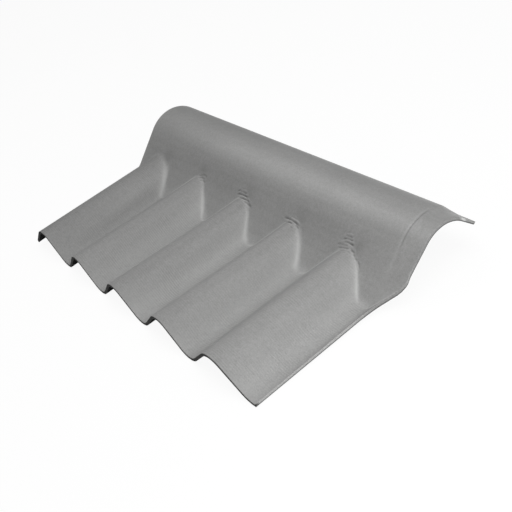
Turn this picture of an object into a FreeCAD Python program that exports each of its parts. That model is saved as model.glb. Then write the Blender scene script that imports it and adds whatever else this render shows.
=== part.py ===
"""Corrugated roof ridge cap, one moulded fibre-cement sheet, in millimetres.

X runs along the ridge, Y from the eave edge to the free edge of the roll, Z up.
The corrugated wing lies with its valley lines on Z = 0.
"""

import FreeCAD
import Part
import math
import os
import Sketcher

SIZES = [
    ("total_length", 920.0, "roll from end to end along the ridge"),
    ("tongue_length", 45.0, "roll standing out past the right end of the wing"),
    ("thickness", 6.5, "sheet thickness"),
    ("pitch", 177.0, "crest to crest"),
    ("wave_height", 55.0, "valley to crest, same face"),
    ("bend_radius", 36.0, "middle of the sheet at a crest or valley"),
    ("first_crest", 58.5, "left end to the first crest"),
    ("axis_depth", 440.0, "eave edge to the axis of the roll"),
    ("roll_radius", 82.0, "outside of the roll"),
    ("roll_height", 119.0, "top of the roll above the valley lines"),
    ("near_flank", 42.4, "slope of the flank above the wing, degrees"),
    ("far_flank", 47.6, "slope of the flank at the free edge, degrees"),
    ("rim_length", 33.0, "straight of the far flank down to the free edge"),
    ("crease_radius", 12.0, "outside blend of the waves into the flank"),
    ("lap_length", 47.0, "stepped end of the roll that the next cap covers"),
    ("lap_ramp", 8.0, "length over which the lap steps down"),
    ("lap_step", 6.5, "drop of the lap at the top of the roll"),
    ("fade_margin", 5.0, "height above the crests where the step dies out"),
    ("root_setback", 153.0, "roll axis to the start of the tongue flare"),
    ("flare_run", 52.0, "length of the tongue flare, measured across the ridge"),
    ("flare_radius", 15.0, "both rounded corners of the flare"),
    ("spare", 30.0, "extra length of the form solids past the trimmed sheet"),
]

DERIVED = [
    ("depth", "=axis_depth + roll_radius * sin(far_flank) + rim_length * cos(far_flank)"),
    ("axis_y", "=axis_depth - depth / 2"),
    ("axis_z", "=roll_height - roll_radius"),
    ("fade_z", "=wave_height + thickness + fade_margin"),
    ("fade_y", "=(roll_radius + (axis_z - fade_z) * cos(near_flank)) / sin(near_flank)"),
    ("unit_count", "=ceil((total_length - first_crest) / pitch + 1.5)"),
    ("form_left", "=first_crest - total_length / 2 - 1.5 * pitch"),
    ("form_right", "=form_left + unit_count * pitch"),
    ("lap_x", "=total_length / 2 - lap_length"),
]

VALUE = {name: value for name, value, note in SIZES}


def make_sheet(doc):
    sheet = doc.addObject("Spreadsheet::Sheet", "sizes")
    for row, (name, value, note) in enumerate(SIZES, start=1):
        sheet.set("A%d" % row, name)
        sheet.set("B%d" % row, str(value))
        sheet.set("C%d" % row, note)
        sheet.setAlias("B%d" % row, name)
    for row, (name, formula) in enumerate(DERIVED, start=len(SIZES) + 1):
        sheet.set("A%d" % row, name)
        sheet.set("B%d" % row, formula)
        sheet.setAlias("B%d" % row, name)
    doc.recompute()
    return sheet


def linked(text):
    """Put the sheet's name before every alias in an expression."""
    names = [row[0] for row in SIZES] + [row[0] for row in DERIVED]
    words = text.split(" ")
    return " ".join("sizes." + word if word in names else word for word in words)


def plane_of(body, role):
    return next(item for item in body.Origin.OriginFeatures if item.Role == role)


def add_sketch(body, name, role, offsets):
    sketch = body.newObject("Sketcher::SketchObject", name)
    sketch.AttachmentSupport = [(plane_of(body, role), "")]
    sketch.MapMode = "FlatFace"
    for axis, text in offsets.items():
        sketch.setExpression("AttachmentOffset.Base." + axis, linked(text))
    return sketch


def size(sketch, constraint, name, text):
    """Add one driving constraint and tie it to the sheet."""
    index = sketch.addConstraint(constraint)
    sketch.renameConstraint(index, name)
    sketch.setExpression("Constraints." + name, linked(text))


def line(sketch, start, end):
    first = FreeCAD.Vector(start[0], start[1], 0)
    last = FreeCAD.Vector(end[0], end[1], 0)
    return sketch.addGeometry(Part.LineSegment(first, last), False)


def arc(sketch, centre, radius, start, end):
    circle = Part.Circle(FreeCAD.Vector(centre[0], centre[1], 0), FreeCAD.Vector(0, 0, 1), radius)
    return sketch.addGeometry(Part.ArcOfCircle(circle, math.radians(start), math.radians(end)), False)


def join(sketch, pairs):
    for first, first_end, second, second_end in pairs:
        sketch.addConstraint(Sketcher.Constraint("Coincident", first, first_end, second, second_end))


def smooth(sketch, pairs):
    for first, first_end, second, second_end in pairs:
        sketch.addConstraint(Sketcher.Constraint("Tangent", first, first_end, second, second_end))


def add_pad(body, name, sketch, length, backwards):
    pad = body.newObject("PartDesign::Pad", name)
    pad.Profile = sketch
    pad.Reversed = backwards
    pad.setExpression("Length", linked(length))
    return pad


def wave_sketch(body, name, crest_radius, valley_radius, crest_top, valley_top):
    """One wave from valley line to valley line, above a base line."""
    sketch = add_sketch(body, name, "XZ_Plane", {
        "x": "form_left + pitch / 2",
        "y": "-1 * spare",
        "z": "depth / 2 + spare",
    })
    half = VALUE["pitch"] / 2
    inner = VALUE["bend_radius"]
    rise = VALUE["wave_height"]
    lean = math.asin(2 * inner / math.hypot(half, 2 * inner - rise))
    turn = math.degrees(lean - math.atan2(2 * inner - rise, half))
    low = VALUE["spare"]
    top = low + rise
    left = arc(sketch, (-half, low + inner), inner, 270, 270 + turn)
    crest = arc(sketch, (0, top - inner), inner, 90 - turn, 90 + turn)
    right = arc(sketch, (half, low + inner), inner, 270 - turn, 270)
    run = inner * math.sin(math.radians(turn))
    sag = inner * (1 - math.cos(math.radians(turn)))
    up = line(sketch, (-half + run, low + sag), (-run, top - sag))
    down = line(sketch, (run, top - sag), (half - run, low + sag))
    side = line(sketch, (half, low), (half, 0))
    base = line(sketch, (half, 0), (-half, 0))
    back = line(sketch, (-half, 0), (-half, low))
    smooth(sketch, [(left, 2, up, 1), (up, 2, crest, 2), (crest, 1, down, 1), (down, 2, right, 1)])
    join(sketch, [(right, 2, side, 1), (side, 2, base, 1), (base, 2, back, 1), (back, 2, left, 1)])
    for upright in (side, back):
        sketch.addConstraint(Sketcher.Constraint("Vertical", upright))
    sketch.addConstraint(Sketcher.Constraint("PointOnObject", base, 1, -1))
    sketch.addConstraint(Sketcher.Constraint("PointOnObject", base, 2, -1))
    sketch.addConstraint(Sketcher.Constraint("PointOnObject", crest, 3, -2))
    sketch.addConstraint(Sketcher.Constraint("Vertical", left, 1, left, 3))
    sketch.addConstraint(Sketcher.Constraint("Vertical", right, 2, right, 3))
    sketch.addConstraint(Sketcher.Constraint("Equal", left, right))
    size(sketch, Sketcher.Constraint("DistanceX", left, 3, -1, 1, half), "left_half", "pitch / 2")
    size(sketch, Sketcher.Constraint("DistanceX", -1, 1, right, 3, half), "right_half", "pitch / 2")
    size(sketch, Sketcher.Constraint("Radius", crest, inner), "crest_bend", crest_radius)
    size(sketch, Sketcher.Constraint("Radius", left, inner), "valley_bend", valley_radius)
    size(sketch, Sketcher.Constraint("DistanceY", -1, 1, left, 1, low), "left_valley", valley_top)
    size(sketch, Sketcher.Constraint("DistanceY", -1, 1, right, 2, low), "right_valley", valley_top)
    size(sketch, Sketcher.Constraint("DistanceY", -1, 1, crest, 3, top - inner), "crest_centre",
         crest_top + " - ( " + crest_radius + " )")
    return sketch


def wedge_sketch(body, name, top_run, top_height):
    """Lower part of the near flank, from the base line up to the height where the lap step dies out."""
    sketch = add_sketch(body, name, "YZ_Plane", {
        "x": "axis_y",
        "y": "-1 * spare",
        "z": "form_left",
    })
    rise = VALUE["spare"] + VALUE["wave_height"] + VALUE["fade_margin"]
    slope = math.tan(math.radians(VALUE["near_flank"]))
    run = VALUE["roll_radius"]
    flank = line(sketch, (-run - rise / slope, 0), (-run, rise))
    roof = line(sketch, (-run, rise), (0, rise))
    wall = line(sketch, (0, rise), (0, 0))
    base = line(sketch, (0, 0), (-run - rise / slope, 0))
    join(sketch, [(flank, 2, roof, 1), (roof, 2, wall, 1), (wall, 2, base, 1), (base, 2, flank, 1)])
    sketch.addConstraint(Sketcher.Constraint("Coincident", wall, 2, -1, 1))
    sketch.addConstraint(Sketcher.Constraint("Horizontal", roof))
    sketch.addConstraint(Sketcher.Constraint("Vertical", wall))
    sketch.addConstraint(Sketcher.Constraint("Horizontal", base))
    size(sketch, Sketcher.Constraint("Angle", flank, math.radians(VALUE["near_flank"])), "slope",
         "near_flank * 1 deg")
    size(sketch, Sketcher.Constraint("DistanceX", flank, 2, -1, 1, run), "top_run", top_run)
    size(sketch, Sketcher.Constraint("DistanceY", -1, 1, flank, 2, rise), "top_height", top_height)
    return sketch


def roll_sketch(body, name, station, radius, start_run, start_height, rim, cut):
    """Upper part of the roll: near flank, crown and far flank, closed below.

    With cut set, the far flank ends square at the free edge; without it the
    section runs on past the free edge and down to the base line.
    """
    sketch = add_sketch(body, name, "YZ_Plane", {
        "x": "axis_y",
        "y": "-1 * spare",
        "z": station,
    })
    near = math.radians(VALUE["near_flank"])
    far = math.radians(VALUE["far_flank"])
    bend = VALUE["roll_radius"]
    centre = VALUE["spare"] + VALUE["roll_height"] - bend
    straight = VALUE["rim_length"]
    foot = (-bend * math.sin(near) - bend * math.cos(near) / 2, centre + bend * math.cos(near) - bend / 3)
    near_end = (-bend * math.sin(near), centre + bend * math.cos(near))
    far_end = (bend * math.sin(far), centre + bend * math.cos(far))
    edge = (far_end[0] + straight * math.cos(far), far_end[1] - straight * math.sin(far))
    rise = line(sketch, foot, near_end)
    crown = arc(sketch, (0, centre), bend, 90 - VALUE["far_flank"], 90 + VALUE["near_flank"])
    fall = line(sketch, edge, far_end)
    smooth(sketch, [(rise, 2, crown, 2), (crown, 1, fall, 2)])
    if cut:
        depth = 2 * VALUE["thickness"]
        inside = (edge[0] - depth * math.sin(far), edge[1] - depth * math.cos(far))
        end = line(sketch, edge, inside)
        under = line(sketch, inside, (0, foot[1]))
        close = line(sketch, (0, foot[1]), foot)
        sketch.addConstraint(Sketcher.Constraint("Perpendicular", fall, end))
        sketch.addConstraint(Sketcher.Constraint("PointOnObject", under, 2, -2))
        sketch.addConstraint(Sketcher.Constraint("Horizontal", close))
    else:
        end = line(sketch, edge, (edge[0], 0))
        under = line(sketch, (edge[0], 0), (foot[0], 0))
        close = line(sketch, (foot[0], 0), foot)
        sketch.addConstraint(Sketcher.Constraint("Vertical", end))
        sketch.addConstraint(Sketcher.Constraint("PointOnObject", under, 1, -1))
        sketch.addConstraint(Sketcher.Constraint("Horizontal", under))
        sketch.addConstraint(Sketcher.Constraint("Vertical", close))
    join(sketch, [(fall, 1, end, 1), (end, 2, under, 1), (under, 2, close, 1), (close, 2, rise, 1)])
    sketch.addConstraint(Sketcher.Constraint("PointOnObject", crown, 3, -2))
    size(sketch, Sketcher.Constraint("DistanceY", -1, 1, crown, 3, centre), "axis_height", "spare + axis_z")
    size(sketch, Sketcher.Constraint("Radius", crown, bend), "crown_bend", radius)
    size(sketch, Sketcher.Constraint("DistanceX", rise, 1, -1, 1, -foot[0]), "start_run", start_run)
    size(sketch, Sketcher.Constraint("DistanceY", -1, 1, rise, 1, foot[1]), "start_height", start_height)
    size(sketch, Sketcher.Constraint("Angle", fall, math.pi - far), "far_slope", "180 deg - far_flank * 1 deg")
    size(sketch, Sketcher.Constraint("Distance", fall, straight), "rim", rim)
    if cut:
        size(sketch, Sketcher.Constraint("Distance", end, depth), "end_depth", "2 * thickness")
    return sketch


def crease_edges(shape, sizes):
    """Edges where the waves meet the plane of the near flank."""
    slope = math.radians(sizes.near_flank)
    normal = FreeCAD.Vector(0, -math.sin(slope), math.cos(slope))
    flank = next(
        face for face in shape.Faces
        if face.Surface.TypeId == "Part::GeomPlane" and face.normalAt(0, 0).isEqual(normal, 1e-6)
    )
    names = []
    for index, edge in enumerate(shape.Edges, start=1):
        spots = edge.discretize(Number=5)
        on_flank = all(flank.distToShape(Part.Vertex(spot))[0] < 1e-4 for spot in spots)
        spread = max(spot.z for spot in spots) - min(spot.z for spot in spots)
        middle = edge.valueAt((edge.FirstParameter + edge.LastParameter) / 2)
        level = spread < 1e-4 and edge.Curve.TypeId == "Part::GeomLine"
        at_end = min(middle.x - shape.BoundBox.XMin, shape.BoundBox.XMax - middle.x) < 1e-4
        if on_flank and not level and not at_end:
            names.append("Edge%d" % index)
    return names


def make_form(doc, sizes, name, inset, blend, rim, cut):
    """Solid under one face of the sheet: waves along Y, roll along X, blended where they meet.

    The inset is zero for the outer face and one thickness for the inner face.
    """
    body = doc.addObject("PartDesign::Body", name)
    half = "( thickness / 2 - " + inset + " )"
    wave = add_pad(body, name + "_wave", wave_sketch(
        body, name + "_wave_section",
        "bend_radius + " + half, "bend_radius - " + half,
        "spare + wave_height + thickness - " + inset, "spare + thickness - " + inset,
    ), "spare + axis_depth", True)
    waves = body.newObject("PartDesign::LinearPattern", name + "_waves")
    waves.Originals = [wave]
    waves.Direction = (plane_of(body, "X_Axis"), [""])
    waves.setExpression("Length", linked("pitch * ( unit_count - 1 )"))
    waves.setExpression("Occurrences", linked("unit_count"))
    body.Tip = waves
    run = "fade_y - " + inset + " * sin( near_flank )"
    height = "spare + fade_z - " + inset + " * cos( near_flank )"
    wedge = add_pad(body, name + "_flank", wedge_sketch(
        body, name + "_flank_section", run, height), "form_right - form_left", False)
    doc.recompute()
    crease = body.newObject("PartDesign::Fillet", name + "_crease")
    crease.Base = (wedge, crease_edges(wedge.Shape, sizes))
    crease.setExpression("Radius", linked(blend))
    doc.recompute()
    main = roll_sketch(body, name + "_roll_section", "lap_x",
                       "roll_radius - " + inset, run, height, rim, cut)
    add_pad(body, name + "_roll", main, "lap_x - form_left", True)
    lap = roll_sketch(body, name + "_lap_section", "lap_x + lap_ramp",
                      "roll_radius - lap_step - " + inset, run, height, rim, cut)
    add_pad(body, name + "_lap", lap, "form_right - lap_x - lap_ramp", False)
    ramp = body.newObject("PartDesign::AdditiveLoft", name + "_ramp")
    ramp.Profile = main
    ramp.Sections = [lap]
    ramp.Ruled = True
    doc.recompute()
    return body


def make_blank(doc):
    """Trimmed outline of the sheet seen from above, with the tongue of the roll at the right end."""
    body = doc.addObject("PartDesign::Body", "outline")
    sketch = add_sketch(body, "outline_plan", "XY_Plane", {"z": "-1 * spare"})
    half_length = VALUE["total_length"] / 2
    far_y = VALUE["axis_depth"] / 2 + VALUE["roll_radius"]
    tongue = VALUE["tongue_length"]
    bend = VALUE["flare_radius"]
    wing_x = half_length - tongue
    root_y = VALUE["axis_depth"] / 2 - VALUE["root_setback"]
    tip_y = root_y + VALUE["flare_run"]
    reach = math.hypot(tongue - 2 * bend, VALUE["flare_run"])
    turn = math.atan2(tongue - 2 * bend, VALUE["flare_run"]) + math.asin(2 * bend / reach)
    turn_deg = math.degrees(turn)
    inner_end = (wing_x + bend - bend * math.cos(turn), root_y + bend * math.sin(turn))
    outer_end = (half_length - bend + bend * math.cos(turn), tip_y - bend * math.sin(turn))
    eave = line(sketch, (-half_length, -far_y), (wing_x, -far_y))
    wing_end = line(sketch, (wing_x, -far_y), (wing_x, root_y))
    inner = arc(sketch, (wing_x + bend, root_y), bend, 180 - turn_deg, 180)
    slant = line(sketch, inner_end, outer_end)
    outer = arc(sketch, (half_length - bend, tip_y), bend, -turn_deg, 0)
    roll_end = line(sketch, (half_length, tip_y), (half_length, far_y))
    behind = line(sketch, (half_length, far_y), (-half_length, far_y))
    left = line(sketch, (-half_length, far_y), (-half_length, -far_y))
    join(sketch, [(left, 2, eave, 1), (eave, 2, wing_end, 1), (roll_end, 2, behind, 1), (behind, 2, left, 1)])
    smooth(sketch, [(wing_end, 2, inner, 2), (inner, 1, slant, 1), (slant, 2, outer, 1), (outer, 2, roll_end, 1)])
    for flat in (eave, behind):
        sketch.addConstraint(Sketcher.Constraint("Horizontal", flat))
    for upright in (wing_end, roll_end, left):
        sketch.addConstraint(Sketcher.Constraint("Vertical", upright))
    sketch.addConstraint(Sketcher.Constraint("Equal", inner, outer))
    size(sketch, Sketcher.Constraint("Radius", inner, bend), "flare_bend", "flare_radius")
    size(sketch, Sketcher.Constraint("DistanceX", left, 1, -1, 1, half_length), "left_end", "total_length / 2")
    size(sketch, Sketcher.Constraint("DistanceX", -1, 1, roll_end, 2, half_length), "right_end", "total_length / 2")
    size(sketch, Sketcher.Constraint("DistanceX", wing_end, 1, roll_end, 2, tongue), "tongue", "tongue_length")
    size(sketch, Sketcher.Constraint("DistanceY", eave, 1, -1, 1, far_y), "eave_edge", "depth / 2")
    size(sketch, Sketcher.Constraint("DistanceY", -1, 1, behind, 1, far_y), "clear_edge", "depth / 2 + spare")
    size(sketch, Sketcher.Constraint("DistanceY", eave, 1, inner, 3, root_y + far_y), "root",
         "axis_depth - root_setback")
    size(sketch, Sketcher.Constraint("DistanceY", inner, 3, outer, 3, tip_y - root_y), "flare", "flare_run")
    add_pad(body, "outline_block", sketch, "roll_height + 2 * spare", False)
    doc.recompute()
    return body


def check(doc):
    for item in doc.Objects:
        if "Invalid" in item.State or "Error" in item.State:
            raise RuntimeError("%s did not compute: %s" % (item.Label, item.State))
        if hasattr(item, "Shape") and item.isDerivedFrom("Part::Feature"):
            if item.Shape.isNull() or not item.Shape.isValid():
                raise RuntimeError("%s has no valid shape" % item.Label)


def main():
    doc = FreeCAD.newDocument("ridge_cap")
    sizes = make_sheet(doc)
    outer = make_form(doc, sizes, "outer", "0", "crease_radius", "rim_length", True)
    inner = make_form(doc, sizes, "inner", "thickness", "crease_radius + thickness",
                      "rim_length + 2 * spare", False)
    shell = doc.addObject("Part::Cut", "shell")
    shell.Base = outer
    shell.Tool = inner
    cap = doc.addObject("Part::Common", "ridge_cap")
    cap.Base = shell
    cap.Tool = make_blank(doc)
    cap.Refine = True
    cap.Label = "ridge_cap"
    doc.recompute()
    check(doc)
    os.makedirs("parts", exist_ok=True)
    cap.Shape.exportStep("parts/" + cap.Label + ".step")
    box = cap.Shape.BoundBox
    print("solids", len(cap.Shape.Solids), "volume cm3", round(cap.Shape.Volume / 1000, 1))
    print("box", [round(value, 2) for value in (box.XMin, box.XMax, box.YMin, box.YMax, box.ZMin, box.ZMax)])


main()
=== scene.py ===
"""Roof ridge cap in moulded fibre cement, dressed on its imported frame."""

import math

import bpy
import numpy as np
from mathutils import Matrix, Vector


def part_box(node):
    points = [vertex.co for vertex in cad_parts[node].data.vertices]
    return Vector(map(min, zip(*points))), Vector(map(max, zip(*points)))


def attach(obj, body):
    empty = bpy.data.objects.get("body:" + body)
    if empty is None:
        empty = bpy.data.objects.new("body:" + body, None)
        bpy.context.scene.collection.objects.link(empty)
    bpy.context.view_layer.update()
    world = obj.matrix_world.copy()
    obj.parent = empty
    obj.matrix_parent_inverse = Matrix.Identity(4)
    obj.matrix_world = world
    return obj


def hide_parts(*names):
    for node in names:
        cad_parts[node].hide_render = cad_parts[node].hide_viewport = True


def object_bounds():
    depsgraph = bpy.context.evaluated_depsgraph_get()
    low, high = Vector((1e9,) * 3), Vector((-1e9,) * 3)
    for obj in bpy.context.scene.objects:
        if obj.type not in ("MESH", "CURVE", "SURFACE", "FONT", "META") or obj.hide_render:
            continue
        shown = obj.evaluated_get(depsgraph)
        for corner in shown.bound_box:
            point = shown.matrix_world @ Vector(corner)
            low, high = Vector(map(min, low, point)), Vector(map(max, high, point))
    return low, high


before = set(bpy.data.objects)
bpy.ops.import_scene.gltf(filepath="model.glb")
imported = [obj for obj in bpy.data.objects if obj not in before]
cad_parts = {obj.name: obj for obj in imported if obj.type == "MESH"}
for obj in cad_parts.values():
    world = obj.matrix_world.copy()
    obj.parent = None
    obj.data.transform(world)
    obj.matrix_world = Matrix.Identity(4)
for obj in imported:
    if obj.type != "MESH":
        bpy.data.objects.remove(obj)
CAD_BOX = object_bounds()
CAP_LOW, CAP_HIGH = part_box("ridge_cap")

bl_info = {
    "name": "Roof ridge cap",
    "version": (1, 0, 0),
    "blender": (4, 5, 0),
    "location": "3D View > Sidebar > Ridge cap",
    "description": "Builds a corrugated fibre-cement ridge cap and a plain studio round it",
    "category": "Object",
}

MM = 0.001
IMAGE_PIXELS = 512
SENSOR_WIDTH = 36.0
FULL_TURN = 2.0 * math.pi
WHITE = (1.0, 1.0, 1.0, 1.0)


# Properties

def length(name, description, default):
    """A size in metres."""
    return bpy.props.FloatProperty(
        name=name, description=description, default=default, unit="LENGTH", precision=4)


def angle(name, description, degrees):
    """An angle, given in degrees and kept in radians."""
    return bpy.props.FloatProperty(
        name=name, description=description, default=math.radians(degrees), subtype="ANGLE")


def share(name, description, default):
    """A plain number from 0 to 1."""
    return bpy.props.FloatProperty(
        name=name, description=description, default=default, min=0.0, max=1.0, subtype="FACTOR")


def colour(name, description, default):
    """A linear colour."""
    return bpy.props.FloatVectorProperty(
        name=name, description=description, default=default, size=3, min=0.0, max=1.0, subtype="COLOR")


class SheetSizes(bpy.types.PropertyGroup):
    """Sizes of the moulded sheet"""
    thickness: length("Thickness", "Sheet thickness", 6.5 * MM)
    pitch: length("Pitch", "Crest to crest", 177.0 * MM)
    wave_height: length("Wave height", "Valley to crest, same face", 55.0 * MM)
    bend_radius: length("Bend radius", "Middle of the sheet at a crest or valley of the eave", 36.0 * MM)
    first_crest: length("First crest", "Left end to the first crest", 58.5 * MM)
    axis_depth: length("Axis depth", "Eave edge to the axis of the roll", 440.0 * MM)
    roll_radius: length("Roll radius", "Outside of the roll", 82.0 * MM)
    near_flank: angle("Near flank", "Slope of the flank above the wing", 42.4)
    far_flank: angle("Far flank", "Slope of the flank at the free edge", 54.0)
    tongue_flank: angle("Tongue flank", "Slope of the flank at the tongue's free edge", 44.5)
    rim: length("Rim", "Length of the far flank", 28.0 * MM)
    tongue_rim: length("Tongue rim", "Length of the far flank on the tongue", 32.0 * MM)
    tongue: length("Tongue", "Roll standing out past the right end of the wing", 45.0 * MM)
    lap_length: length("Lap length", "Stepped end of the roll that the next cap covers", 47.0 * MM)
    lap_step: length("Lap step", "Drop of the lap at the top of the roll", 7.0 * MM)
    lap_ramp: length("Lap ramp", "Length over which the lap eases down", 25.0 * MM)
    fade_margin: length("Fade margin", "Height above the crests where the step dies out", 5.0 * MM)
    root_setback: length("Root setback", "Roll axis to the start of the tongue flare", 153.0 * MM)
    flare_run: length("Flare run", "Length of the flare, measured across the ridge", 52.0 * MM)
    edge_round: length("Edge round", "Rounding of the cut edges", 0.9 * MM)
    lap_slant: length("Lap slant", "Setback of the lap line on the far flank", 14.0 * MM)
    wrinkle_depth: length("Wrinkle depth", "Deepest moulding wrinkle above the crests", 2.0 * MM)


class FinishSettings(bpy.types.PropertyGroup):
    """Colours and relief of the fibre cement"""
    cement: colour("Cement", "Lighter grey of the moulded faces", (0.330, 0.330, 0.326))
    dark: colour("Dark", "Darker grey of the moulded faces", (0.140, 0.140, 0.138))
    # Pale of rubbed fold lines, also used as painted highlight on the right folds, the lap and the right end
    pale: colour("Pale", "Rubbed fold lines and the sawn right end", (0.55, 0.55, 0.543))
    # Painted shade in the bottoms of the wrinkles
    groove: colour("Groove", "Bottoms of the wrinkles", (0.07, 0.07, 0.069))
    # Painted shade on cut edges turned away from the lamps
    cut: colour("Cut edge", "Eave, left end and free edge", (0.045, 0.045, 0.044))
    # Painted shadow on the underside inside the eave
    painted_shadow: colour("Damp", "Dark rim of the underside inside the eave", (0.012, 0.012, 0.012))
    under: colour("Underside", "Lighter grey of the underside", (0.28, 0.28, 0.276))
    rib_period: length("Felt ribs", "Spacing of the felt ribs on the wing", 4.7 * MM)
    felt_roughness: share("Felt roughness", "Roughness of the corrugated wing", 0.62)
    pressed_roughness: share("Pressed roughness", "Roughness of the trowelled roll", 0.42)


class StageSettings(bpy.types.PropertyGroup):
    """Camera, lamps and floor"""
    camera_place: bpy.props.FloatVectorProperty(
        name="Camera place", description="Camera position", default=(1.5348, -0.6950, 1.1152),
        size=3, subtype="XYZ", unit="LENGTH")
    azimuth: angle("Azimuth", "Camera direction round the part", 64.374)
    elevation: angle("Elevation", "Camera height above the horizon", 34.523)
    tilt: angle("Tilt", "Turn of the camera about its own axis", -20.779)
    focal_pixels: bpy.props.FloatProperty(
        name="Focal length", description="Focal length in pixels of the picture", default=958.3)
    floor_colour: colour("Floor", "Colour of the floor", (0.90, 0.90, 0.90))
    floor_white: share("Floor white", "Share of plain white that the camera sees on the floor", 0.93)
    sky: bpy.props.FloatProperty(name="Sky", description="Even light from all round", default=0.31)


# Form of the sheet

def ease(value, start, end):
    """Smooth step from 0 at start to 1 at end."""
    t = np.clip((value - start) / (end - start), 0.0, 1.0)
    return t * t * (3.0 - 2.0 * t)


def window(value, places):
    """Smooth rise from 0 to 1 between the first two places, and fall between the last two."""
    return ease(value, *places[:2]) * ease(-value, -places[3], -places[2])


def smooth_max(first, second, blend):
    """The larger of two heights, with the fold between them rounded."""
    gap = np.maximum(blend - np.abs(first - second), 0.0)
    return np.maximum(first, second) + gap * gap / (4.0 * blend)


# Softness of the fold in mm, from one valley over the crest to the next, and its share at each crest
FOLD_PLACES = (-1.0, -0.5, 0.0, 0.5, 1.0)
FOLD_BLENDS = (12.0, 5.0, 5.0, 6.5, 12.0)
WAVE_SOFTNESS = (1.7, 1.1, 1.1, 1.8, 1.0)

# Setback of the uneven eave in mm, along it from the left end
EAVE_PLACES = (0.0, 80.0, 260.0, 430.0, 610.0, 790.0, 875.0)
EAVE_SETBACKS = (3.5, 4.5, 1.5, 0.0, 0.5, 0.8, 3.0)

# Pale line along the fold, rubbed on left flanks and a painted highlight on right flanks, from one valley
# over the crest to the next: share, and shift to the wave side in mm
RUB_PLACES = (-1.0, -0.6, -0.2, -0.05, 0.1, 0.35, 0.8, 1.0)
RUB_SHARES = (0.6, 0.95, 0.85, 0.3, 0.05, 0.15, 0.95, 0.3)
RUB_SHIFTS = (9.0, 3.0, 0.0, 0.0, 0.0, 0.0, 3.0, 9.0)

# Rubbing and painted highlight wave by wave: share, how early it comes, and reach of its painted halo on the
# wave side in mm
WAVE_RUB_AND_GLINT = (0.35, 1.15, 0.95, 0.85, 0.8)
RUB_EARLY = (0.0, 0.0, 0.0, 0.0, 0.17)
HALO_REACH = (14.0, 14.0, 40.0, 26.0, 26.0)

# Pale lines: width of the painted highlight on right flanks and of the rubbed line on left flanks; painted
# halo: reach on the roll side, share, limits along the wave
GLINT_RIGHT, RUB_LEFT, RUB_HALO = 4.0 * MM, 2.4 * MM, 14.0 * MM
HALO_SHARE = 0.3
WAVE_HALO = (0.2, 0.6, 0.7, 0.95)
ROLL_HALO = (0.45, 0.75, 0.7, 0.95)

# Painted shade on the crest and painted highlight low on the right flank, along the wave; then its share by
# wave, and painted shade by wave, darkest on the first wave
WAVE_LIGHT_PLACES = (-1.0, -0.4, -0.2, -0.05, 0.05, 0.2, 0.3, 0.5, 0.6, 0.7, 0.8, 0.9, 1.0)
WAVE_LIGHT_SHARES = (0.8, 0.65, 0.5, 0.1, -0.25, -0.5, -0.15, 0.15, 0.6, 1.0, 0.9, 0.8, 0.8)
WAVE_LIGHT_GAINS = (0.25, 0.8, 1.2, 1.15, 0.75)
WAVE_SHADE_TONES = (-0.45, 0.0, 0.0, -0.05, 0.05)

# Painted highlight along the crown of the roll and painted shade on its flanks, and painted light on its
# toe, across it, and its share along it; places in mm from axis and left end
CROWN_PLACES = (-105.0, -90.0, -75.0, -60.0, -45.0, -30.0, -15.0, 0.0, 15.0, 30.0, 60.0)
CROWN_SHEEN_SHARES = (-0.1, -0.4, -0.45, 0.1, 0.7, 1.0, 0.85, 0.45, 0.15, -0.15, -0.5)
TOE_PLACES = (-150.0, -122.0, -105.0)
TOE_LIGHT_SHARES = (0.8, 0.45, 0.0)
ALONG_PLACES = (40.0, 210.0, 360.0, 710.0, 810.0, 900.0)
ALONG_SHARES = (0.25, 0.8, 1.0, 0.8, 0.3, 0.0)

# Painted shade on the foot and ramp of the lap: share, and limits in mm past the lap line and up from the
# eave
FOOT_SHADE, FOOT_ALONG, FOOT_UP = 0.35, (0.0, 8.0), (345.0, 365.0, 375.0, 400.0)
RAMP_SHADE, RAMP_ALONG, RAMP_UP = 0.8, (-2.0, 8.0, 16.0, 30.0), (375.0, 400.0, 430.0, 470.0)

# Change from wave to roll, in mm across the fold: of the tone and of the finish
TONE_EDGE = (-14.0, 2.0)
FINISH_EDGE = (-14.0, 6.0)

# Small nick where the lap starts: share of the step and length
NICK_SHARE, NICK_RUN = 0.1, 2.0 * MM

# Painted highlight along the edge of the lap, in mm up from the eave: width, share, and distance before the
# lap line
LAP_WIDTH_PLACES, LAP_HIGHLIGHT_WIDTHS = (330.0, 375.0), (7.0, 1.1)
LAP_LINE_PLACES = (325.0, 345.0, 375.0, 455.0, 475.0)
LAP_LINE_SHARES = (0.0, 0.25, 0.22, 0.22, 0.0)
LAP_LINE_SHIFT = 1.2

# Crests in all, and the run over which the eave's form turns into the ridge's
CREST_COUNT = 5
RIDGE_RUN = 285.0 * MM

# Sideways wander in mm of crests and valleys in turn, from the first crest, at the eave and at the ridge
EAVE_DRIFT = (10.0, 9.0, 7.0, -2.0, -2.0, -6.0, -3.0, -10.0, -2.0, 16.0)
RIDGE_DRIFT = (6.0, -2.0, 10.0, -3.0, 8.0, -6.0, 3.0, -9.0, -4.0, 5.0)

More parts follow.
